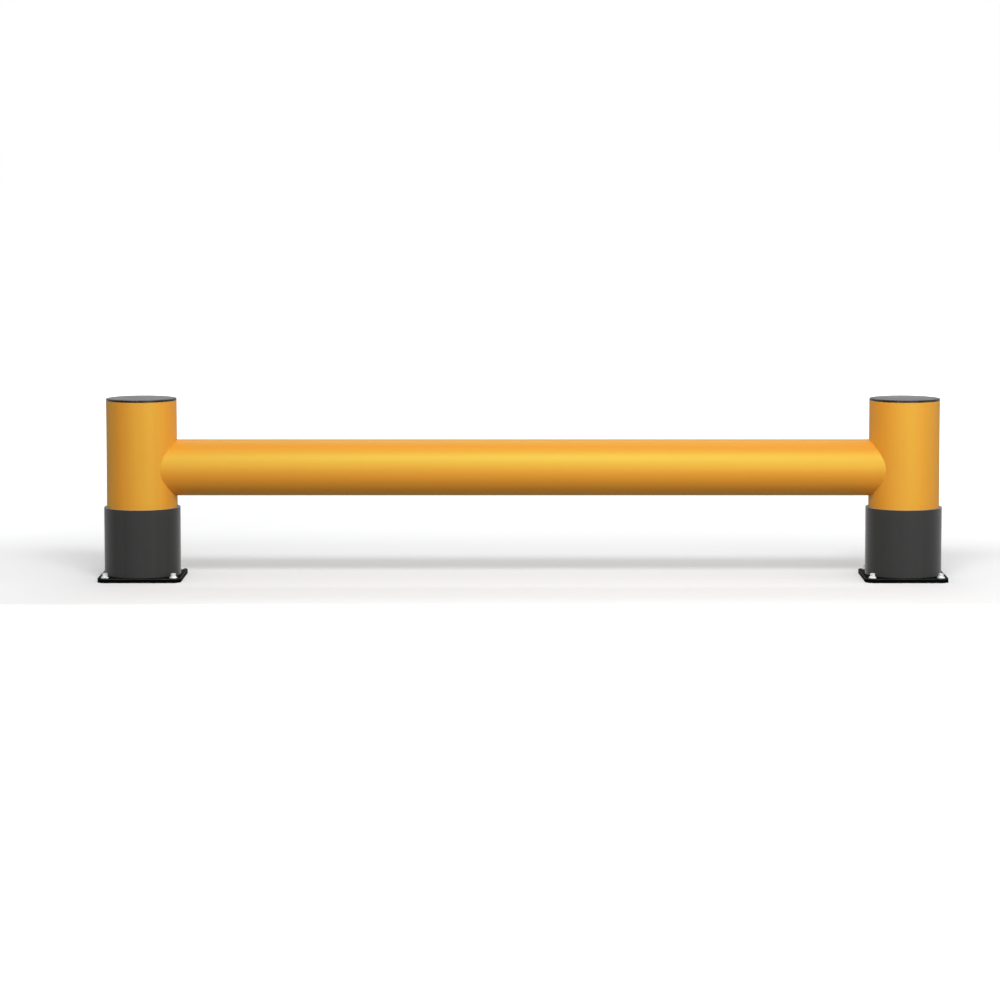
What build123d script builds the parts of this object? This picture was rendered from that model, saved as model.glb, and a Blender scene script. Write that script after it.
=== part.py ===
from build123d import *
import os
from math import cos, radians, sin, sqrt, tan

os.makedirs("parts", exist_ok=True)

# Guard rail of thick polymer pipe: one rail between two posts, each on a screwed-down steel foot.
# Millimetres, +X along the rail, +Z up, origin on the floor midway between the posts.

# Layout
post_spacing = 2165.0
rail_axis_height = 316.0
post_above_rail = 111.6
sleeve_below_rail = 32.0
spigot_below_rail = 76.0

# Rail and post pipes; the rail's ends stand inside the posts
rail_radius = 80.0
rail_wall = 9.5
rail_end_room = 9.0
rail_end_chamfer = 2.0
rail_hole_clearance = 0.3
rail_side_room = 9.0
post_wall = 11.0
post_edge_chamfer = 1.0

# Sleeve round the foot of the post
sleeve_clearance = 0.3
sleeve_wall = 7.8
sleeve_rim_round = 1.5
sleeve_edge_chamfer = 0.8

# Base plate
plate_margin = 9.4
plate_thickness = 12.0
plate_corner_radius = 24.0
plate_edge_round = 1.5

# Spigot, a steel stub welded to the plate inside the post
spigot_clearance = 0.3
spigot_wall = 6.0
spigot_lid = 8.0
spigot_lead_chamfer = 3.0
weld_leg = 5.0
weld_bulge = 0.6
weld_clearance = 1.0

# Rail pin, which drops through the rail's end into the spigot's lid
pin_radius = 12.5
pin_clearance = 0.3
pin_below_lid = 20.0
pin_end_chamfer = 3.0
pin_head_radius = 21.0
pin_head_height = 8.0
pin_head_chamfer = 1.5

# Countersunk screws that hold the post on the spigot
post_screw_height = 70.0
post_screw_radius = 5.0
post_screw_length = 26.0
post_screw_head_radius = 10.0
post_screw_head_rim = 0.5
post_screw_recess = 0.5
post_screw_clearance = 0.3
post_screw_thread_clearance = 0.05
post_screw_end_chamfer = 1.0
post_screw_socket_across_flats = 6.0
post_screw_socket_depth = 3.2
countersink_angle = 90.0
post_screw_angles = (45.0, 135.0, 225.0, 315.0)

# Cap
cap_rim_height = 6.0
cap_rim_round = 0.8
cap_border = 5.0
cap_border_drop = 0.5
cap_dome_rise = 0.9
cap_disc_thickness = 4.5
cap_skirt_depth = 42.0
cap_skirt_wall = 3.0
cap_skirt_gap = 1.2
cap_lip_gap = 0.2
cap_lip_height = 2.4
cap_lip_count = 3
cap_lip_spacing = 11.0
cap_first_lip = 10.0
cap_rib_count = 8
cap_rib_thickness = 2.6
cap_rib_depth = 14.0
cap_hub_radius = 12.0
cap_hub_wall = 3.0

# Floor anchors and their washers
anchor_edge_distance = 21.0
anchor_radius = 5.0
anchor_hole_clearance = 1.0
anchor_above_floor = 0.5
anchor_end_chamfer = 1.0
anchor_flange_radius = 9.6
anchor_flange_rim = 1.0
anchor_flange_height = 2.6
anchor_head_across_flats = 13.0
anchor_head_height = 8.0
anchor_dish_radius = 4.2
anchor_dish_depth = 0.6
anchor_crown_angle = 30.0
anchor_turn_step = 17.0
washer_radius = 11.0
washer_thickness = 2.5
washer_clearance = 0.5
washer_edge_chamfer = 0.4

# Radii that follow
rail_bore = rail_radius - rail_wall
rail_hole_radius = rail_radius + rail_hole_clearance
post_bore = rail_radius + rail_side_room
post_radius = post_bore + post_wall
sleeve_bore = post_radius + sleeve_clearance
sleeve_radius = sleeve_bore + sleeve_wall
spigot_radius = post_bore - spigot_clearance
spigot_bore = spigot_radius - spigot_wall
pin_hole_radius = pin_radius + pin_clearance
cap_skirt_radius = post_bore - cap_skirt_gap
cap_skirt_bore = cap_skirt_radius - cap_skirt_wall
cap_lip_radius = post_bore - cap_lip_gap
anchor_hole_radius = anchor_radius + anchor_hole_clearance

# Widths and lengths that follow
plate_width = 2 * (sleeve_radius + plate_margin)
anchor_spacing = plate_width - 2 * anchor_edge_distance
rail_past_post_axis = sqrt(post_bore**2 - rail_radius**2) - rail_end_room
rail_half_length = post_spacing / 2 + rail_past_post_axis
post_foot_chamfer = weld_leg + weld_clearance

# Heights that follow
rail_bottom = rail_axis_height - rail_radius
rail_top = rail_axis_height + rail_radius
post_top = rail_top + post_above_rail
post_length = post_top - plate_thickness
sleeve_height = rail_bottom - sleeve_below_rail - plate_thickness
spigot_top = rail_bottom - spigot_below_rail
spigot_lid_underside = spigot_top - spigot_lid
pin_end = spigot_lid_underside - pin_below_lid
cap_top = post_top + cap_rim_height
cap_rim_top = cap_top - cap_border_drop
cap_underside = cap_top - cap_disc_thickness
anchor_seat = plate_thickness + washer_thickness
anchor_flange_top = anchor_seat + anchor_flange_height
anchor_head_top = anchor_flange_top + anchor_head_height

# The flat screw heads lie wholly under the post's curved face, so the sleeve slides over them.
post_screw_face = sqrt(post_radius**2 - post_screw_head_radius**2) - post_screw_recess
post_screw_sink_radius = post_screw_head_radius + post_screw_head_rim + post_radius - post_screw_face
post_screw_cone = (post_screw_head_radius - post_screw_radius) / tan(radians(countersink_angle / 2))
tapped_radius = post_screw_radius + post_screw_thread_clearance


# Planes beside a post
def tangent_plane(post_x, height, angle):
    """Touches the post's face, and its normal points straight away from the post's axis."""
    outward = (cos(radians(angle)), sin(radians(angle)), 0)
    centre = (post_x + post_radius * outward[0], post_radius * outward[1], height)
    return Plane(origin=centre, x_dir=(0, 0, 1), z_dir=outward)


def radial_section(post_x, height, angle):
    """Cuts the post upright: X goes up, and Y is the distance from the post's axis."""
    sideways = (-sin(radians(angle)), cos(radians(angle)), 0)
    return Plane(origin=(post_x, 0, height), x_dir=(0, 0, 1), z_dir=sideways)


def place_name(along, across):
    """Which corner or quarter of a post: along points away from the guard rail's middle."""
    return f"{'rear' if across > 0 else 'front'}_{'outer' if along > 0 else 'inner'}"


# Rail
with BuildPart() as rail:
    with BuildSketch(Plane.YZ.offset(-rail_half_length)):
        with Locations((0, rail_axis_height)):
            Circle(rail_radius)
            Circle(rail_bore, mode=Mode.SUBTRACT)
    extrude(amount=2 * rail_half_length)
    chamfer(rail.edges().filter_by(GeomType.CIRCLE).group_by(SortBy.RADIUS)[-1], rail_end_chamfer)
    with BuildSketch(Plane.XY.offset(rail_axis_height)):
        with GridLocations(post_spacing, 0, 2, 1):
            Circle(pin_hole_radius)
    extrude(amount=rail_radius, both=True, mode=Mode.SUBTRACT)
rail.part.label = "rail"
export_step(rail.part, "parts/rail.step")


for side, direction in (("left", -1), ("right", 1)):
    post_x = direction * post_spacing / 2
    post_axis = Axis((post_x, 0, 0), (0, 0, 1))
    floor = Plane((post_x, 0, 0))
    plate_top = floor.offset(plate_thickness)
    section = Plane(origin=(post_x, 0, 0), x_dir=(1, 0, 0), z_dir=(0, -1, 0))
    screw_height = plate_thickness + post_screw_height

    # Base plate, soft along its top edge
    with BuildPart() as base_plate:
        with BuildSketch(floor):
            RectangleRounded(plate_width, plate_width, plate_corner_radius)
            with GridLocations(anchor_spacing, anchor_spacing, 2, 2):
                Circle(anchor_hole_radius, mode=Mode.SUBTRACT)
        extrude(amount=plate_thickness)
        fillet(base_plate.faces().sort_by(Axis.Z)[-1].outer_wire().edges(), plate_edge_round)
    base_plate.part.label = f"base_plate_{side}"
    export_step(base_plate.part, f"parts/base_plate_{side}.step")

    # Spigot: tube, lid and the weld bead round its foot
    with BuildPart() as spigot:
        with BuildSketch(section):
            with BuildLine():
                bead = SagittaArc(
                    (spigot_radius + weld_leg, plate_thickness),
                    (spigot_radius, plate_thickness + weld_leg),
                    weld_bulge,
                )
                Polyline(
                    bead @ 1,
                    (spigot_radius, spigot_top - spigot_lead_chamfer),
                    (spigot_radius - spigot_lead_chamfer, spigot_top),
                    (pin_hole_radius, spigot_top),
                    (pin_hole_radius, spigot_lid_underside),
                    (spigot_bore, spigot_lid_underside),
                    (spigot_bore, plate_thickness),
                    bead @ 0,
                )
            make_face()
        revolve(axis=post_axis)
        for angle in post_screw_angles:
            with Locations(tangent_plane(post_x, screw_height, angle)):
                Hole(tapped_radius, depth=post_radius - spigot_bore + spigot_wall)
    spigot.part.label = f"spigot_{side}"
    export_step(spigot.part, f"parts/spigot_{side}.step")

    # Post, with the rail's side hole and the countersunk holes under the sleeve
    with BuildPart() as post:
        with BuildSketch(plate_top):
            Circle(post_radius)
            Circle(post_bore, mode=Mode.SUBTRACT)
        extrude(amount=post_length)
        foot_edges = post.edges().group_by(Axis.Z)[0].sort_by(SortBy.RADIUS)
        top_edges = post.edges().group_by(Axis.Z)[-1].sort_by(SortBy.RADIUS)
        chamfer(foot_edges[0], post_foot_chamfer)
        chamfer(top_edges[0], post_edge_chamfer)
        with BuildSketch(Plane(origin=(post_x, 0, rail_axis_height), z_dir=(-direction, 0, 0))):
            Circle(rail_hole_radius)
        extrude(amount=post_radius + post_wall, mode=Mode.SUBTRACT)
        for angle in post_screw_angles:
            with Locations(tangent_plane(post_x, screw_height, angle)):
                CounterSinkHole(
                    post_screw_radius + post_screw_clearance,
                    post_screw_sink_radius,
                    depth=2 * post_wall,
                    counter_sink_angle=countersink_angle,
                )
    post.part.label = f"post_{side}"
    export_step(post.part, f"parts/post_{side}.step")

    # Sleeve
    with BuildPart() as sleeve:
        with BuildSketch(plate_top):
            Circle(sleeve_radius)
            Circle(sleeve_bore, mode=Mode.SUBTRACT)
        extrude(amount=sleeve_height)
        foot_edges = sleeve.edges().group_by(Axis.Z)[0].sort_by(SortBy.RADIUS)
        rim_edges = sleeve.edges().group_by(Axis.Z)[-1].sort_by(SortBy.RADIUS)
        fillet(rim_edges[-1], sleeve_rim_round)
        chamfer([foot_edges[-1], rim_edges[0]], sleeve_edge_chamfer)
    sleeve.part.label = f"sleeve_{side}"
    export_step(sleeve.part, f"parts/sleeve_{side}.step")

    # Rail pin, whose head rests on the rail's crest
    with BuildPart() as rail_pin:
        with BuildSketch(floor.offset(pin_end)):
            Circle(pin_radius)
        extrude(amount=rail_top - pin_end)
        chamfer(rail_pin.edges().sort_by(Axis.Z)[0], pin_end_chamfer)
        with BuildSketch(floor.offset(rail_top)):
            Circle(pin_head_radius)
        extrude(amount=pin_head_height)
        chamfer(rail_pin.edges().sort_by(Axis.Z)[-1], pin_head_chamfer)
    rail_pin.part.label = f"rail_pin_{side}"
    export_step(rail_pin.part, f"parts/rail_pin_{side}.step")

    # Cap: a domed disc with a lipped skirt that grips the bore, stiffened by ribs round a hub
    with BuildPart() as cap:
        with BuildSketch(section):
            with BuildLine():
                dome_edge = (post_radius - cap_border, cap_top)
                dome = TangentArc((0, cap_top + cap_dome_rise), dome_edge, tangent=(1, 0))
                Polyline(
                    dome @ 1,
                    (post_radius - cap_border + cap_border_drop, cap_rim_top),
                    (post_radius, cap_rim_top),
                    (post_radius, post_top),
                    (cap_skirt_radius, post_top),
                    (cap_skirt_radius, post_top - cap_skirt_depth),
                    (cap_skirt_bore, post_top - cap_skirt_depth),
                    (cap_skirt_bore, cap_underside),
                    (0, cap_underside),
                    dome @ 0,
                )
            make_face()
            for lip in range(cap_lip_count):
                lip_bottom = post_top - cap_first_lip - lip * cap_lip_spacing
                with BuildLine():
                    Polyline(
                        (cap_skirt_bore + cap_skirt_wall / 2, lip_bottom),
                        (cap_skirt_radius, lip_bottom),
                        (cap_lip_radius, lip_bottom + cap_lip_height),
                        (cap_skirt_bore + cap_skirt_wall / 2, lip_bottom + cap_lip_height),
                        close=True,
                    )
                make_face()
        revolve(axis=post_axis)
        rim_level = cap.edges().filter_by_position(Axis.Z, cap_rim_top, cap_rim_top)
        fillet(rim_level.sort_by(SortBy.RADIUS)[-1], cap_rim_round)
        with BuildSketch(floor.offset(cap_underside)):
            rib_start = cap_hub_radius - cap_hub_wall / 2
            rib_end = cap_skirt_bore + cap_skirt_wall / 2
            with PolarLocations((rib_start + rib_end) / 2, cap_rib_count):
                Rectangle(rib_end - rib_start, cap_rib_thickness)
            Circle(cap_hub_radius)
            Circle(cap_hub_radius - cap_hub_wall, mode=Mode.SUBTRACT)
        extrude(amount=-cap_rib_depth)
    cap.part.label = f"cap_{side}"
    export_step(cap.part, f"parts/cap_{side}.step")

    # Post screws
    for angle in post_screw_angles:
        cut = radial_section(post_x, screw_height, angle)
        with BuildPart() as post_screw:
            with BuildSketch(cut):
                with BuildLine():
                    Polyline(
                        (0, post_screw_face),
                        (post_screw_head_radius, post_screw_face),
                        (post_screw_head_radius, post_screw_face - post_screw_head_rim),
                        (post_screw_radius, post_screw_face - post_screw_head_rim - post_screw_cone),
                        (post_screw_radius, post_screw_face - post_screw_length + post_screw_end_chamfer),
                        (post_screw_radius - post_screw_end_chamfer, post_screw_face - post_screw_length),
                        (0, post_screw_face - post_screw_length),
                        close=True,
                    )
                make_face()
            revolve(axis=Axis(cut.origin, cut.y_dir))
            face_centre = cut.origin + cut.y_dir * post_screw_face
            with BuildSketch(Plane(face_centre, x_dir=cut.x_dir, z_dir=cut.y_dir)):
                RegularPolygon(post_screw_socket_across_flats / 2, 6, major_radius=False)
            extrude(amount=-post_screw_socket_depth, mode=Mode.SUBTRACT)
        name = f"post_screw_{side}_{place_name(direction * cos(radians(angle)), sin(radians(angle)))}"
        post_screw.part.label = name
        export_step(post_screw.part, f"parts/{name}.step")

    # Floor anchors: hexagon flange head with a crowned, dished top, and a round washer under it
    for corner, (along, across) in enumerate(((1, -1), (-1, -1), (1, 1), (-1, 1))):
        anchor_x = post_x + direction * along * anchor_spacing / 2
        anchor_y = across * anchor_spacing / 2
        anchor_floor = Plane((anchor_x, anchor_y, 0))
        anchor_cut = Plane(origin=(anchor_x, anchor_y, 0), x_dir=(1, 0, 0), z_dir=(0, -1, 0))
        anchor_axis = Axis((anchor_x, anchor_y, 0), (0, 0, 1))
        corner_name = place_name(along, across)

        with BuildPart() as anchor_screw:
            with BuildSketch(anchor_floor.offset(anchor_flange_top)):
                turn = corner * anchor_turn_step
                RegularPolygon(anchor_head_across_flats / 2, 6, major_radius=False, rotation=turn)
            extrude(amount=anchor_head_height)
            with BuildSketch(anchor_cut):
                with BuildLine():
                    crown_start = anchor_head_across_flats / 2 - anchor_dish_depth
                    crown_end = anchor_head_across_flats
                    crown_fall = (crown_end - crown_start) * tan(radians(anchor_crown_angle))
                    Polyline(
                        (crown_start, anchor_head_top),
                        (crown_end, anchor_head_top),
                        (crown_end, anchor_head_top - crown_fall),
                        close=True,
                    )
                make_face()
                with BuildLine():
                    Polyline(
                        (0, anchor_head_top),
                        (anchor_dish_radius, anchor_head_top),
                        (anchor_dish_radius - anchor_dish_depth, anchor_head_top - anchor_dish_depth),
                        (0, anchor_head_top - anchor_dish_depth),
                        close=True,
                    )
                make_face()
            revolve(axis=anchor_axis, mode=Mode.SUBTRACT)
            with BuildSketch(anchor_cut):
                with BuildLine():
                    Polyline(
                        (0, anchor_above_floor),
                        (anchor_radius - anchor_end_chamfer, anchor_above_floor),
                        (anchor_radius, anchor_above_floor + anchor_end_chamfer),
                        (anchor_radius, anchor_seat),
                        (anchor_flange_radius, anchor_seat),
                        (anchor_flange_radius, anchor_seat + anchor_flange_rim),
                        (anchor_head_across_flats / 2, anchor_flange_top),
                        (0, anchor_flange_top),
                        close=True,
                    )
                make_face()
            revolve(axis=anchor_axis)
        anchor_screw.part.label = f"anchor_screw_{side}_{corner_name}"
        export_step(anchor_screw.part, f"parts/anchor_screw_{side}_{corner_name}.step")

        with BuildPart() as anchor_washer:
            with BuildSketch(anchor_floor.offset(plate_thickness)):
                Circle(washer_radius)
                Circle(anchor_radius + washer_clearance, mode=Mode.SUBTRACT)
            extrude(amount=washer_thickness)
            top_edges = anchor_washer.edges().group_by(Axis.Z)[-1]
            chamfer(top_edges.sort_by(SortBy.RADIUS)[-1], washer_edge_chamfer)
        anchor_washer.part.label = f"anchor_washer_{side}_{corner_name}"
        export_step(anchor_washer.part, f"parts/anchor_washer_{side}_{corner_name}.step")
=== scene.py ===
from math import pi, radians

import bmesh
import bpy
from bpy.props import FloatProperty, FloatVectorProperty, IntProperty, PointerProperty
from mathutils import Matrix, Vector


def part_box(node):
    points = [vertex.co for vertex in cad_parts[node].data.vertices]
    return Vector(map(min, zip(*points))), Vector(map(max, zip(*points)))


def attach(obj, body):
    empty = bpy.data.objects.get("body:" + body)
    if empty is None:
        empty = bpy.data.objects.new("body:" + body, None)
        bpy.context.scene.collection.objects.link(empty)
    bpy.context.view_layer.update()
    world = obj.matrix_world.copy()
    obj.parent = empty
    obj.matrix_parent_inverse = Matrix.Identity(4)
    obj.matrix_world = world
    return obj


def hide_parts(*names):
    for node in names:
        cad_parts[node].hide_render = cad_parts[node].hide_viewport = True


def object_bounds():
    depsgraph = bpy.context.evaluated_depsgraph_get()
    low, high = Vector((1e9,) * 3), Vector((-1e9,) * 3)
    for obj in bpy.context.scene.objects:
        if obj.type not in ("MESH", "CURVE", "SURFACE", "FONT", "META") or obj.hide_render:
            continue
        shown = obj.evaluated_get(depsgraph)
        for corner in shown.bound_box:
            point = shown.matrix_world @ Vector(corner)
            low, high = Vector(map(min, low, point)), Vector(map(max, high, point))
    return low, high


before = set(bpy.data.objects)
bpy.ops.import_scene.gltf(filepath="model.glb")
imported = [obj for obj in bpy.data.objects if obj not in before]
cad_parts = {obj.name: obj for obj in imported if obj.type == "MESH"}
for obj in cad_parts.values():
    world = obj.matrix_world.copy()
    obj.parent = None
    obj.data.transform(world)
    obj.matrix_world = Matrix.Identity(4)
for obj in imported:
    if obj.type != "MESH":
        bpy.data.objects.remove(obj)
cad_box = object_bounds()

bl_info = {
    "name": "Guard Rail Looks",
    "version": (1, 0, 0),
    "blender": (4, 5, 0),
    "location": "3D View > Sidebar > Guard Rail",
    "description": "Models and finishes a polymer guard rail around its packed frame",
    "category": "Object",
}

SIDES = ("left", "right")
CORNERS = ("front_outer", "front_inner", "rear_outer", "rear_inner")
WHITE = (1.0, 1.0, 1.0, 1.0)

# Mesh details
PIN_HOLE_SEGMENTS = 64
MERGE_DISTANCE = 1e-6
SHARP_ANGLE = radians(30)

# A noise's usual lowest and highest values, which a finish spreads over a range of its own
NOISE_RANGE = (0.3, 0.7)
# The die lines' scale along a pipe, as a share of their scale across it
DIE_LINE_STRETCH = 0.012
# The upward tilt of a base plate's rounded edge, as its normal's Z, where a paler colour is painted as a
# highlight
PLATE_HIGHLIGHT_TILT = (0.25, 0.9)

# The photograph's camera: where it stands, in metres, and what its 1000 pixel frame shows
CAMERA_DISTANCE = 9.2710
CAMERA_HEIGHT = 1.2745
CAMERA_PITCH = radians(4.869)
CAMERA_FOCAL_PIXELS = 3279.6
CAMERA_CENTRE_PIXELS = (522.98, 408.05)
FRAME_PIXELS = 1000.0
# In millimetres, as a lens is
SENSOR_WIDTH = 36.0

# The softboxes: where each stands, its width and its height, in metres
KEY_BOX = ((0.2, -3.6, 3.9), 2.4, 1.0)
FRONT_BOX = ((2.6, -5.0, 1.3), 4.0, 2.0)
FILL_BOX = ((-3.0, -8.0, 1.5), 4.0, 2.0)
BACK_BOX = ((0.0, 3.2, 3.4), 4.0, 0.5)
SIDE_BOX = ((5.0, -1.0, 1.5), 3.0, 3.0)

FLOOR_HALF_SIZE = 60.0
# Where the seen floor brightens towards white: the distance in metres at which each fade starts and
# ends, and the brightness that it adds
FLOOR_FADES = (
    ("aside", 1.15, 1.9, 0.10),
    ("far aside", 1.6, 3.5, 1.0),
    ("behind", 0.45, 1.25, 0.18),
    ("far behind", 1.2, 5.0, 1.0),
    ("in front", -0.53, -0.57, 1.0),
)
# How the floor brightens towards the back in reflections: the same three values
FLOOR_IN_REFLECTIONS = (-0.2, 0.5, 0.45)
# The white band along the studio's horizon: the same three values, for a direction's Z
HORIZON_BAND = (0.2, 0.04, 1.0)


# Settings that a user would change
class GuardRailSizes(bpy.types.PropertyGroup):
    rail_wall: FloatProperty(
        name="Rail wall", description="Thickness of the rail's pipe wall",
        default=0.0095, min=0.002, unit="LENGTH")
    rail_end_bevel: FloatProperty(
        name="Rail end bevel", description="Bevel on the outer edge of the rail's two ends",
        default=0.002, min=0.0, unit="LENGTH")
    pin_hole_radius: FloatProperty(
        name="Pin hole radius", description="Radius of the holes that the rail pins drop through",
        default=0.0128, min=0.001, unit="LENGTH")
    pipe_segments: IntProperty(
        name="Pipe segments", description="Faces round the rail's pipe",
        default=192, min=24, max=512)


class GuardRailColours(bpy.types.PropertyGroup):
    pipe: FloatVectorProperty(
        name="Pipe", description="Yellow polymer of the rail and posts",
        subtype="COLOR", size=3, min=0.0, max=1.0, default=(0.87, 0.300, 0.029))
    pipe_sheen: FloatVectorProperty(
        name="Pipe highlight", description="Tint of the pipe's soft highlight",
        subtype="COLOR", size=3, min=0.0, max=1.0, default=(0.08, 1.0, 0.19))
    cap: FloatVectorProperty(
        name="Cap", description="Dark moulded plastic of the caps",
        subtype="COLOR", size=3, min=0.0, max=1.0, default=(0.010, 0.011, 0.012))
    sleeve: FloatVectorProperty(
        name="Sleeve", description="Charcoal plastic of the sleeves",
        subtype="COLOR", size=3, min=0.0, max=1.0, default=(0.043, 0.043, 0.0425))
    plate: FloatVectorProperty(
        name="Base plate", description="Black powder coat of the base plates",
        subtype="COLOR", size=3, min=0.0, max=1.0, default=(0.002, 0.002, 0.002))
    # A painted highlight: the paler colour of the plates' rounded edges stands in for the light that they
    # catch
    plate_edge_highlight: FloatVectorProperty(
        name="Base plate edge", description="Thin powder coat along the base plates' rounded edges",
        subtype="COLOR", size=3, min=0.0, max=1.0, default=(0.07, 0.07, 0.07))
    spigot: FloatVectorProperty(
        name="Spigot", description="Black powder coat of the stubs inside the posts",
        subtype="COLOR", size=3, min=0.0, max=1.0, default=(0.02, 0.02, 0.02))
    zinc: FloatVectorProperty(
        name="Zinc", description="Bright zinc of the anchors, washers, pins and screws",
        subtype="COLOR", size=3, min=0.0, max=1.0, default=(0.96, 0.965, 0.97))
    floor: FloatVectorProperty(
        name="Floor", description="Pale studio floor, as the camera sees it",
        subtype="COLOR", size=3, min=0.0, max=1.0, default=(0.853, 0.859, 0.868))
    floor_bounce: FloatVectorProperty(
        name="Floor bounce",
        description="The floor's colour for light that it throws back and for reflections",
        subtype="COLOR", size=3, min=0.0, max=1.0, default=(0.18, 0.18, 0.18))


class GuardRailLight(bpy.types.PropertyGroup):
    key: FloatProperty(
        name="Key light", description="Softbox in front, high above the middle",
        default=132.0, min=0.0, unit="POWER")
    front: FloatProperty(
        name="Front light", description="Low softbox in front, on the right",
        default=94.0, min=0.0, unit="POWER")
    fill: FloatProperty(
        name="Fill light", description="Low softbox far in front, on the left",
        default=76.0, min=0.0, unit="POWER")
    back: FloatProperty(
        name="Back light", description="Long softbox behind the rail",
        default=31.4, min=0.0, unit="POWER")
    side: FloatProperty(
        name="Side light", description="Square softbox on the right",
        default=29.0, min=0.0, unit="POWER")
    studio_left: FloatProperty(
        name="Studio, left", description="Light from the studio's left wall, where 1 is white",
        default=0.434, min=0.0)
    studio_right: FloatProperty(
        name="Studio, right", description="Light from the studio's right wall, where 1 is white",
        default=0.439, min=0.0)
    floor_glow: FloatProperty(
        name="Floor glow", description="Brightness that the seen floor has of itself, near the object",
        default=0.117, min=0.0)


# Shader node helpers
def set_inputs(node, values):
    """Sets a node's inputs by their names, written with underscores for spaces."""
    for name, value in values.items():
        node.inputs[name.replace("_", " ")].default_value = value


def add_node(tree, kind, **values):
    """A node of that kind, whose named inputs are set where a value is given."""
    node = tree.nodes.new(kind)
    set_inputs(node, values)
    return node


def add_math(tree, operation, first, second):
    """A Math node, whose two operands are sockets or numbers."""
    node = tree.nodes.new("ShaderNodeMath")
    node.operation = operation
    for socket, operand in zip(node.inputs, (first, second)):
        if isinstance(operand, (int, float)):
            socket.default_value = operand
        else:
            tree.links.new(operand, socket)
    return node.outputs["Value"]


def add_colour_mix(tree, blend_type="MIX"):
    """A Mix node for colours: its factor, its two colours and its result."""
    mix = tree.nodes.new("ShaderNodeMix")
    mix.data_type = "RGBA"
    mix.blend_type = blend_type
    # By their places, because the node's sockets for other types have the same names
    return mix.inputs[0], mix.inputs[6], mix.inputs[7], mix.outputs[2]


def new_material(name, **values):
    """A material, its node tree, and its Principled shader with the named inputs set."""
    material = bpy.data.materials.new(name)
    material.use_nodes = True
    tree = material.node_tree
    tree.nodes.clear()
    output = tree.nodes.new("ShaderNodeOutputMaterial")
    principled = add_node(tree, "ShaderNodeBsdfPrincipled", **values)
    tree.links.new(principled.outputs["BSDF"], output.inputs["Surface"])
    return material, tree, principled


def made_once(make, name, *arguments):
    """The named material or node group, made by its function the first time."""
    found = bpy.data.materials.get(name) or bpy.data.node_groups.get(name)
    return found or make(name, *arguments)


# Shared surface effects
def new_pattern_group(name, scales, masks):
    """An empty node group with a vector, named scales and named masks, and its input and output nodes."""
    group = bpy.data.node_groups.new(name, "ShaderNodeTree")
    group.interface.new_socket(name="Vector", in_out="INPUT", socket_type="NodeSocketVector")
    for scale, default in scales.items():
        socket = group.interface.new_socket(name=scale, in_out="INPUT", socket_type="NodeSocketFloat")
        socket.default_value = default
    for mask in masks:
        group.interface.new_socket(name=mask, in_out="OUTPUT", socket_type="NodeSocketFloat")
    return group, group.nodes.new("NodeGroupInput"), group.nodes.new("NodeGroupOutput")


def add_noise(group, vector, scale, mask, detail, roughness):
    """A noise that reads a vector and a scale and feeds a mask, all sockets of the group."""
    noise = add_node(group, "ShaderNodeTexNoise", Detail=detail, Roughness=roughness)
    group.links.new(vector, noise.inputs["Vector"])
    group.links.new(scale, noise.inputs["Scale"])
    group.links.new(noise.outputs["Fac"], mask)


def make_die_line_group(name):
    """Long fine lines along Z, as an extruder's die leaves them, with slow waves in tone."""
    group, given, out = new_pattern_group(
        name, {"Fine Scale": 420.0, "Broad Scale": 38.0}, ("Lines", "Tone"))
    stretch = add_node(group, "ShaderNodeMapping", Scale=(1.0, 1.0, DIE_LINE_STRETCH))
    group.links.new(given.outputs["Vector"], stretch.inputs["Vector"])
    vector = stretch.outputs["Vector"]
    add_noise(group, vector, given.outputs["Fine Scale"], out.inputs["Lines"], detail=3.0, roughness=0.55)
    add_noise(group, vector, given.outputs["Broad Scale"], out.inputs["Tone"], detail=2.0, roughness=0.5)
    return group


def make_grain_group(name):
    """Fine even pits and peaks, as on a sparked mould or a powder coat, with slow blotches."""
    group, given, out = new_pattern_group(
        name, {"Grain Scale": 900.0, "Blotch Scale": 14.0}, ("Grain", "Blotches"))
    vector, blotch_scale = given.outputs["Vector"], given.outputs["Blotch Scale"]
    add_noise(group, vector, given.outputs["Grain Scale"], out.inputs["Grain"], detail=4.0, roughness=0.6)
    add_noise(group, vector, blotch_scale, out.inputs["Blotches"], detail=3.0, roughness=0.5)
    return group


def die_lines():
    """The die lines' node group."""
    return made_once(make_die_line_group, "Die lines")


def grain():
    """The surface grain's node group."""
    return made_once(make_grain_group, "Surface grain")


def place_pattern(tree, group, turn=(0.0, 0.0, 0.0), **values):
    """A pattern group on object coordinates turned by three angles: its fine and its slow mask."""
    coordinates = tree.nodes.new("ShaderNodeTexCoord")
    mapping = add_node(tree, "ShaderNodeMapping", Rotation=turn)
    tree.links.new(coordinates.outputs["Object"], mapping.inputs["Vector"])
    pattern = tree.nodes.new("ShaderNodeGroup")
    pattern.node_tree = group
    set_inputs(pattern, values)
    tree.links.new(mapping.outputs["Vector"], pattern.inputs["Vector"])
    fine, slow = pattern.outputs
    return fine, slow


def ranged(tree, mask, low, high):
    """A noise's mask spread over low to high."""
    start, end = NOISE_RANGE
    node = add_node(tree, "ShaderNodeMapRange", From_Min=start, From_Max=end, To_Min=low, To_Max=high)
    tree.links.new(mask, node.inputs["Value"])
    return node.outputs["Result"]


def shaded(tree, colour, mask, low, high):
    """A colour times a factor that the mask spreads over low to high."""
    factor, plain, shade, result = add_colour_mix(tree, "MULTIPLY")
    factor.default_value = 1.0
    plain.default_value = (*colour, 1.0)
    tree.links.new(ranged(tree, mask, low, high), shade)
    return result


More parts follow.
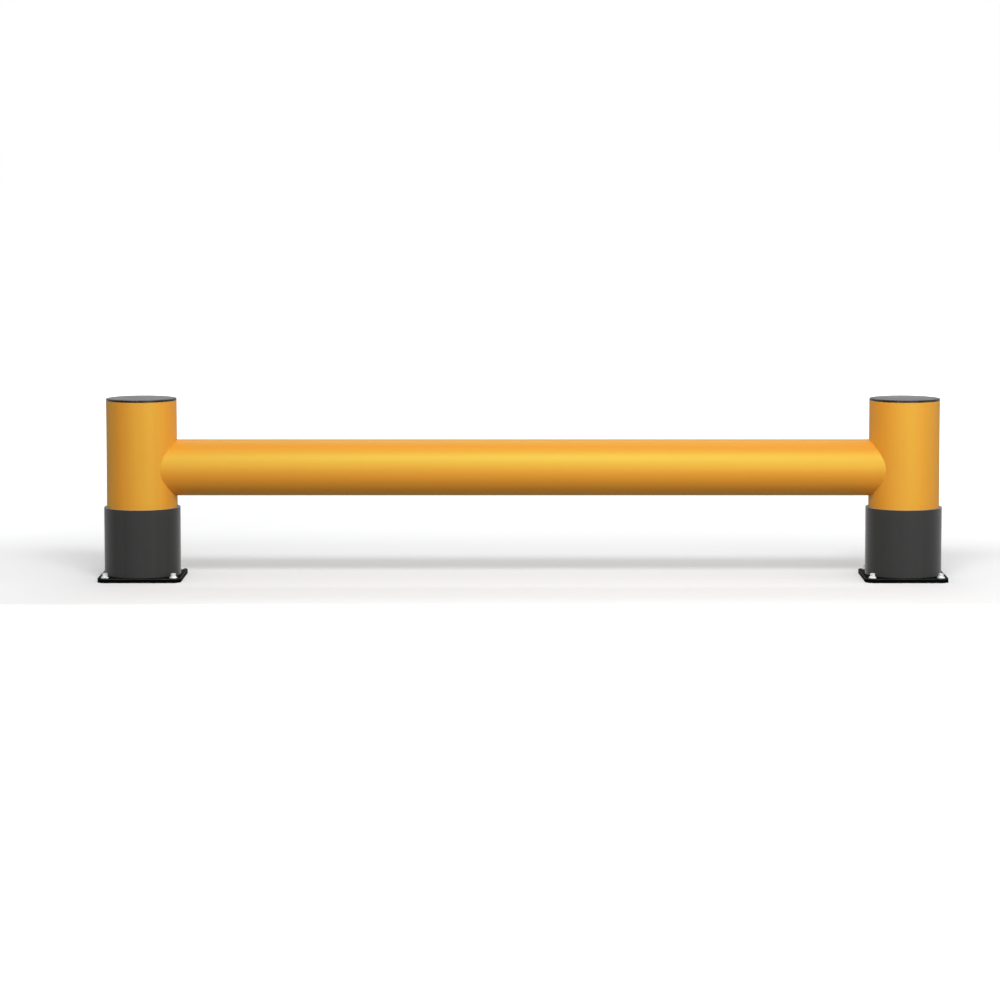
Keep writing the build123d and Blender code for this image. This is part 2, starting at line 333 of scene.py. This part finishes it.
def slope(tree, low, high):
    """1 on surfaces whose upward tilt lies between two values of the normal's Z, else 0."""
    geometry = tree.nodes.new("ShaderNodeNewGeometry")
    normal = tree.nodes.new("ShaderNodeSeparateXYZ")
    tree.links.new(geometry.outputs["Normal"], normal.inputs["Vector"])
    above = add_math(tree, "GREATER_THAN", normal.outputs["Z"], low)
    below = add_math(tree, "LESS_THAN", normal.outputs["Z"], high)
    return add_math(tree, "MULTIPLY", above, below)


def feed_shader(tree, principled, colour, roughness, height, depth):
    """Links colour and roughness to the shader, and a height of that depth in metres to its normal."""
    tree.links.new(colour, principled.inputs["Base Color"])
    tree.links.new(roughness, principled.inputs["Roughness"])
    bump = add_node(tree, "ShaderNodeBump", Strength=1.0, Distance=depth)
    tree.links.new(height, bump.inputs["Height"])
    tree.links.new(bump.outputs["Normal"], principled.inputs["Normal"])


# Finishes
def pipe_material(name, colours, turn):
    """Yellow extruded polymer; turn brings the pipe's axis to Z."""
    material, tree, principled = new_material(
        name, IOR=1.75, Specular_IOR_Level=0.9, Specular_Tint=(*colours.pipe_sheen, 1.0))
    lines, tone = place_pattern(tree, die_lines(), turn)
    feed_shader(
        tree, principled,
        colour=shaded(tree, colours.pipe, tone, low=0.975, high=1.02),
        roughness=ranged(tree, tone, low=0.48, high=0.54),
        height=lines, depth=0.00002)
    return material


def sleeve_material(name, colours):
    """Charcoal extruded plastic, matt, with a soft pale bloom towards its sides."""
    material, tree, principled = new_material(
        name, Specular_IOR_Level=0.1, Sheen_Weight=0.5, Sheen_Roughness=0.38)
    lines, tone = place_pattern(tree, die_lines(), Fine_Scale=520.0)
    feed_shader(
        tree, principled,
        colour=shaded(tree, colours.sleeve, tone, low=0.94, high=1.05),
        roughness=ranged(tree, tone, low=0.40, high=0.46),
        height=lines, depth=0.00002)
    return material


def cap_material(name, colours):
    """Dark moulded plastic with a sparked grain."""
    material, tree, principled = new_material(name, Specular_IOR_Level=0.45)
    pits, blotches = place_pattern(tree, grain(), Grain_Scale=1400.0)
    feed_shader(
        tree, principled,
        colour=shaded(tree, colours.cap, blotches, low=0.95, high=1.05),
        roughness=ranged(tree, blotches, low=0.22, high=0.27),
        height=pits, depth=0.00003)
    return material


def plate_material(name, colours):
    """Black powder coat with a slight orange peel; a highlight is painted paler along its rounded edge."""
    material, tree, principled = new_material(name, Specular_IOR_Level=0.02)
    pits, blotches = place_pattern(tree, grain(), Grain_Scale=420.0)
    # Painted highlight: the rounded edge, where it tilts up towards the lights, gets the paler colour
    is_edge, coat, painted_highlight, mixed = add_colour_mix(tree)
    tree.links.new(slope(tree, *PLATE_HIGHLIGHT_TILT), is_edge)
    tree.links.new(shaded(tree, colours.plate, blotches, low=0.9, high=1.1), coat)
    tree.links.new(shaded(tree, colours.plate_edge_highlight, blotches, low=0.7, high=1.2), painted_highlight)
    feed_shader(
        tree, principled,
        colour=mixed,
        roughness=ranged(tree, blotches, low=0.52, high=0.60),
        height=pits, depth=0.00008)
    return material


def spigot_material(name, colours):
    """Black powder coat, slightly rough."""
    material, tree, principled = new_material(name)
    pits, blotches = place_pattern(tree, grain(), Grain_Scale=420.0, Blotch_Scale=22.0)
    feed_shader(
        tree, principled,
        colour=shaded(tree, colours.spigot, blotches, low=0.85, high=1.15),
        roughness=ranged(tree, blotches, low=0.46, high=0.56),
        height=pits, depth=0.00008)
    return material


def zinc_material(name, colours):
    """Bright zinc plating."""
    material, tree, principled = new_material(name, Metallic=0.3)
    pits, blotches = place_pattern(tree, grain(), Grain_Scale=1800.0, Blotch_Scale=160.0)
    feed_shader(
        tree, principled,
        colour=shaded(tree, colours.zinc, blotches, low=0.92, high=1.06),
        roughness=ranged(tree, blotches, low=0.22, high=0.34),
        height=pits, depth=0.00002)
    return material


def finish_node(name, material):
    """Gives a CAD node's object its material."""
    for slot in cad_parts[name].material_slots:
        slot.material = material


# Mesh helpers
def new_object(name, shape):
    """An object in the scene with the shape of a bmesh, which is freed."""
    mesh = bpy.data.meshes.new(name)
    shape.to_mesh(mesh)
    shape.free()
    made = bpy.data.objects.new(name, mesh)
    bpy.context.scene.collection.objects.link(made)
    return made


def finished_object(name, shape, material, node):
    """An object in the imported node's place, that rides on the part and takes its material slot."""
    piece = new_object(name, shape)
    piece.data.materials.append(material)
    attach(piece, "root")
    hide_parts(node)
    return piece


def cut_with(piece, cutter):
    """Cuts the cutter's space out of the piece, and removes the cutter."""
    boolean = piece.modifiers.new("Cut", "BOOLEAN")
    boolean.operation = "DIFFERENCE"
    boolean.solver = "EXACT"
    boolean.object = cutter
    graph = bpy.context.evaluated_depsgraph_get()
    cut_mesh = bpy.data.meshes.new_from_object(piece.evaluated_get(graph))
    piece.modifiers.clear()
    piece.data = cut_mesh
    bpy.data.objects.remove(cutter)


# Pieces
class GUARDRAIL_OT_rail(bpy.types.Operator):
    """Model the rail's pipe with its bevelled ends and pin holes"""
    bl_idname = "guardrail.rail"
    bl_label = "Rail"

    def execute(self, context):
        sizes = context.scene.guard_rail_sizes
        low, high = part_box("rail")
        radius = (high.z - low.z) / 2
        axis_height = (high.z + low.z) / 2
        bore = radius - sizes.rail_wall
        bevel = sizes.rail_end_bevel

        # The wall's section, spun round the rail's axis
        tube = bmesh.new()
        section = (
            (low.x, bore),
            (low.x, radius - bevel),
            (low.x + bevel, radius),
            (high.x - bevel, radius),
            (high.x, radius - bevel),
            (high.x, bore),
        )
        corners = [tube.verts.new((along, 0.0, axis_height + out)) for along, out in section]
        edges = [tube.edges.new((a, b)) for a, b in zip(corners, corners[1:] + corners[:1])]
        bmesh.ops.spin(
            tube, geom=corners + edges, cent=(0.0, 0.0, axis_height), axis=(1.0, 0.0, 0.0),
            dvec=(0.0, 0.0, 0.0), angle=2 * pi, steps=sizes.pipe_segments,
            use_merge=True, use_duplicate=False)
        bmesh.ops.remove_doubles(tube, verts=tube.verts, dist=MERGE_DISTANCE)
        bmesh.ops.recalc_face_normals(tube, faces=tube.faces)

        material = made_once(
            pipe_material, "Yellow rail pipe", context.scene.guard_rail_colours, (0.0, pi / 2, 0.0))
        rail = finished_object("rail_pipe", tube, material, "rail")

        # The pin holes, through both walls, by cylinders that are longer than the pipe is wide
        holes = bmesh.new()
        for side in SIDES:
            pin_low, pin_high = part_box(f"rail_pin_{side}")
            centre = (pin_low + pin_high) / 2
            bmesh.ops.create_cone(
                holes, cap_ends=True, cap_tris=False, segments=PIN_HOLE_SEGMENTS,
                radius1=sizes.pin_hole_radius, radius2=sizes.pin_hole_radius, depth=3 * radius,
                matrix=Matrix.Translation((centre.x, 0.0, axis_height)))
        cut_with(rail, new_object("pin_holes", holes))
        for face in rail.data.polygons:
            face.use_smooth = True
        rail.data.set_sharp_from_angle(angle=SHARP_ANGLE)
        return {"FINISHED"}


class GUARDRAIL_OT_posts(bpy.types.Operator):
    """Finish the two posts' pipes"""
    bl_idname = "guardrail.posts"
    bl_label = "Posts"

    def execute(self, context):
        material = made_once(
            pipe_material, "Yellow post pipe", context.scene.guard_rail_colours, (0.0, 0.0, 0.0))
        for side in SIDES:
            finish_node(f"post_{side}", material)
        return {"FINISHED"}


class GUARDRAIL_OT_sleeves(bpy.types.Operator):
    """Finish the sleeves round the posts' feet"""
    bl_idname = "guardrail.sleeves"
    bl_label = "Sleeves"

    def execute(self, context):
        material = made_once(sleeve_material, "Charcoal sleeve", context.scene.guard_rail_colours)
        for side in SIDES:
            finish_node(f"sleeve_{side}", material)
        return {"FINISHED"}


class GUARDRAIL_OT_caps(bpy.types.Operator):
    """Finish the posts' caps"""
    bl_idname = "guardrail.caps"
    bl_label = "Caps"

    def execute(self, context):
        material = made_once(cap_material, "Dark cap", context.scene.guard_rail_colours)
        for side in SIDES:
            finish_node(f"cap_{side}", material)
        return {"FINISHED"}


class GUARDRAIL_OT_base_plates(bpy.types.Operator):
    """Finish the base plates"""
    bl_idname = "guardrail.base_plates"
    bl_label = "Base plates"

    def execute(self, context):
        material = made_once(plate_material, "Black powder coat", context.scene.guard_rail_colours)
        for side in SIDES:
            finish_node(f"base_plate_{side}", material)
        return {"FINISHED"}


class GUARDRAIL_OT_spigots(bpy.types.Operator):
    """Finish the steel stubs inside the posts"""
    bl_idname = "guardrail.spigots"
    bl_label = "Spigots"

    def execute(self, context):
        material = made_once(spigot_material, "Black spigot", context.scene.guard_rail_colours)
        for side in SIDES:
            finish_node(f"spigot_{side}", material)
        return {"FINISHED"}


class GUARDRAIL_OT_fasteners(bpy.types.Operator):
    """Finish the anchors, washers, post screws and rail pins"""
    bl_idname = "guardrail.fasteners"
    bl_label = "Fasteners"

    def execute(self, context):
        material = made_once(zinc_material, "Bright zinc", context.scene.guard_rail_colours)
        for side in SIDES:
            finish_node(f"rail_pin_{side}", material)
            for corner in CORNERS:
                for kind in ("anchor_screw", "anchor_washer", "post_screw"):
                    finish_node(f"{kind}_{side}_{corner}", material)
        return {"FINISHED"}


# Stage
def add_softbox(name, box, target, power):
    """A rectangular area light that faces a point."""
    place, width, height = box
    light = bpy.data.lights.new(name, "AREA")
    light.shape = "RECTANGLE"
    light.size = width
    light.size_y = height
    light.energy = power
    lamp = bpy.data.objects.new(name, light)
    bpy.context.scene.collection.objects.link(lamp)
    lamp.location = place
    direction = Vector(target) - lamp.location
    lamp.rotation_euler = direction.to_track_quat("-Z", "Y").to_euler()


def add_fade(tree, source, start, end, brightness):
    """A smooth ramp of the source from 0 at its start to a brightness at its end."""
    fade = add_node(tree, "ShaderNodeMapRange", From_Min=start, From_Max=end, To_Min=0.0, To_Max=brightness)
    fade.interpolation_type = "SMOOTHSTEP"
    tree.links.new(source, fade.inputs["Value"])
    return fade.outputs["Result"]


def ray_is_seen(tree):
    """1 for rays from the camera and for those that mirrors and glass send on, else 0."""
    path = tree.nodes.new("ShaderNodeLightPath")
    seen = add_math(tree, "MAXIMUM", path.outputs["Is Camera Ray"], path.outputs["Is Glossy Ray"])
    return add_math(tree, "MAXIMUM", seen, path.outputs["Is Transmission Ray"])


def floor_material(name, colours, light):
    """Matt floor, grey round the object and white beyond, that throws little light back."""
    material, tree, principled = new_material(
        name, Roughness=0.9, Specular_IOR_Level=0.0, Emission_Color=WHITE)
    path = tree.nodes.new("ShaderNodeLightPath")
    seen, mirrored = path.outputs["Is Camera Ray"], path.outputs["Is Glossy Ray"]
    factor, bounce, shown, colour = add_colour_mix(tree)
    bounce.default_value = (*colours.floor_bounce, 1.0)
    shown.default_value = (*colours.floor, 1.0)
    tree.links.new(seen, factor)
    tree.links.new(colour, principled.inputs["Base Color"])

    coordinates = tree.nodes.new("ShaderNodeTexCoord")
    place = tree.nodes.new("ShaderNodeSeparateXYZ")
    tree.links.new(coordinates.outputs["Object"], place.inputs["Vector"])
    aside = add_math(tree, "ABSOLUTE", place.outputs["X"], 0.0)
    glow = light.floor_glow
    for direction, start, end, brightness in FLOOR_FADES:
        source = aside if "aside" in direction else place.outputs["Y"]
        glow = add_math(tree, "ADD", add_fade(tree, source, start, end, brightness), glow)
    own = add_math(tree, "MULTIPLY", seen, glow)
    reflection = add_fade(tree, place.outputs["Y"], *FLOOR_IN_REFLECTIONS)
    reflected = add_math(tree, "MULTIPLY", mirrored, reflection)
    tree.links.new(add_math(tree, "ADD", own, reflected), principled.inputs["Emission Strength"])
    return material


def add_floor(colours, light):
    """The floor that the part stands on."""
    shape = bmesh.new()
    bmesh.ops.create_grid(shape, x_segments=1, y_segments=1, size=FLOOR_HALF_SIZE)
    floor = new_object("floor", shape)
    floor.data.materials.append(made_once(floor_material, "Pale floor", colours, light))


def studio_world(light):
    """A studio with a left and a right wall, and a white band along its horizon."""
    world = bpy.data.worlds.new("Studio")
    world.use_nodes = True
    tree = world.node_tree
    tree.nodes.clear()
    coordinates = tree.nodes.new("ShaderNodeTexCoord")
    direction = tree.nodes.new("ShaderNodeSeparateXYZ")
    tree.links.new(coordinates.outputs["Generated"], direction.inputs["Vector"])
    walls = add_node(
        tree, "ShaderNodeMapRange", From_Min=-1.0, From_Max=1.0,
        To_Min=light.studio_left, To_Max=light.studio_right)
    tree.links.new(direction.outputs["X"], walls.inputs["Value"])
    band = add_fade(tree, direction.outputs["Z"], *HORIZON_BAND)
    seen_band = add_math(tree, "MULTIPLY", ray_is_seen(tree), band)
    strength = add_math(tree, "MAXIMUM", walls.outputs["Result"], seen_band)
    background = add_node(tree, "ShaderNodeBackground", Color=WHITE)
    tree.links.new(strength, background.inputs["Strength"])
    output = tree.nodes.new("ShaderNodeOutputWorld")
    tree.links.new(background.outputs["Background"], output.inputs["Surface"])
    return world


def add_camera():
    """The photograph's camera, which the scene looks through."""
    camera_data = bpy.data.cameras.new("Camera")
    camera_data.sensor_width = SENSOR_WIDTH
    camera_data.lens = CAMERA_FOCAL_PIXELS / FRAME_PIXELS * SENSOR_WIDTH
    centre_x, centre_y = CAMERA_CENTRE_PIXELS
    camera_data.shift_x = (FRAME_PIXELS / 2 - centre_x) / FRAME_PIXELS
    camera_data.shift_y = (centre_y - FRAME_PIXELS / 2) / FRAME_PIXELS
    camera = bpy.data.objects.new("Camera", camera_data)
    camera.location = (0.0, -CAMERA_DISTANCE, CAMERA_HEIGHT)
    camera.rotation_euler = (pi / 2 - CAMERA_PITCH, 0.0, 0.0)
    bpy.context.scene.collection.objects.link(camera)
    bpy.context.scene.camera = camera


class GUARDRAIL_OT_stage(bpy.types.Operator):
    """Make the floor, the lights and the camera"""
    bl_idname = "guardrail.stage"
    bl_label = "Stage"

    def execute(self, context):
        scene = context.scene
        settings = scene.guard_rail_light
        add_floor(scene.guard_rail_colours, settings)

        low, high = cad_box
        middle = (low + high) / 2
        add_softbox("Key", KEY_BOX, middle, settings.key)
        add_softbox("Front", FRONT_BOX, middle, settings.front)
        add_softbox("Fill", FILL_BOX, middle, settings.fill)
        add_softbox("Back", BACK_BOX, middle, settings.back)
        add_softbox("Side", SIDE_BOX, middle, settings.side)

        scene.world = studio_world(settings)
        add_camera()
        scene.view_settings.view_transform = "Standard"
        return {"FINISHED"}


class GUARDRAIL_PT_panel(bpy.types.Panel):
    """The guard rail's settings, and a button for each of its pieces"""
    bl_idname = "GUARDRAIL_PT_panel"
    bl_label = "Guard Rail"
    bl_space_type = "VIEW_3D"
    bl_region_type = "UI"
    bl_category = "Guard Rail"

    def draw(self, context):
        scene = context.scene
        for settings in (scene.guard_rail_sizes, scene.guard_rail_colours, scene.guard_rail_light):
            box = self.layout.box()
            for name in settings.__annotations__:
                box.prop(settings, name)
        for operator in OPERATORS:
            self.layout.operator(operator.bl_idname)


SETTINGS = (GuardRailSizes, GuardRailColours, GuardRailLight)
OPERATORS = (
    GUARDRAIL_OT_rail,
    GUARDRAIL_OT_posts,
    GUARDRAIL_OT_sleeves,
    GUARDRAIL_OT_caps,
    GUARDRAIL_OT_base_plates,
    GUARDRAIL_OT_spigots,
    GUARDRAIL_OT_fasteners,
    GUARDRAIL_OT_stage,
)


def register():
    """Registers the settings, the operators and the panel."""
    for cls in (*SETTINGS, *OPERATORS, GUARDRAIL_PT_panel):
        bpy.utils.register_class(cls)
    bpy.types.Scene.guard_rail_sizes = PointerProperty(type=GuardRailSizes)
    bpy.types.Scene.guard_rail_colours = PointerProperty(type=GuardRailColours)
    bpy.types.Scene.guard_rail_light = PointerProperty(type=GuardRailLight)


def unregister():
    """Takes the panel, the operators and the settings away again."""
    del bpy.types.Scene.guard_rail_light
    del bpy.types.Scene.guard_rail_colours
    del bpy.types.Scene.guard_rail_sizes
    for cls in reversed((*SETTINGS, *OPERATORS, GUARDRAIL_PT_panel)):
        bpy.utils.unregister_class(cls)


def main():
    """Makes every piece and the stage."""
    register()
    bpy.ops.guardrail.rail()
    bpy.ops.guardrail.posts()
    bpy.ops.guardrail.sleeves()
    bpy.ops.guardrail.caps()
    bpy.ops.guardrail.base_plates()
    bpy.ops.guardrail.spigots()
    bpy.ops.guardrail.fasteners()
    bpy.ops.guardrail.stage()


if __name__ == "__main__":
    main()
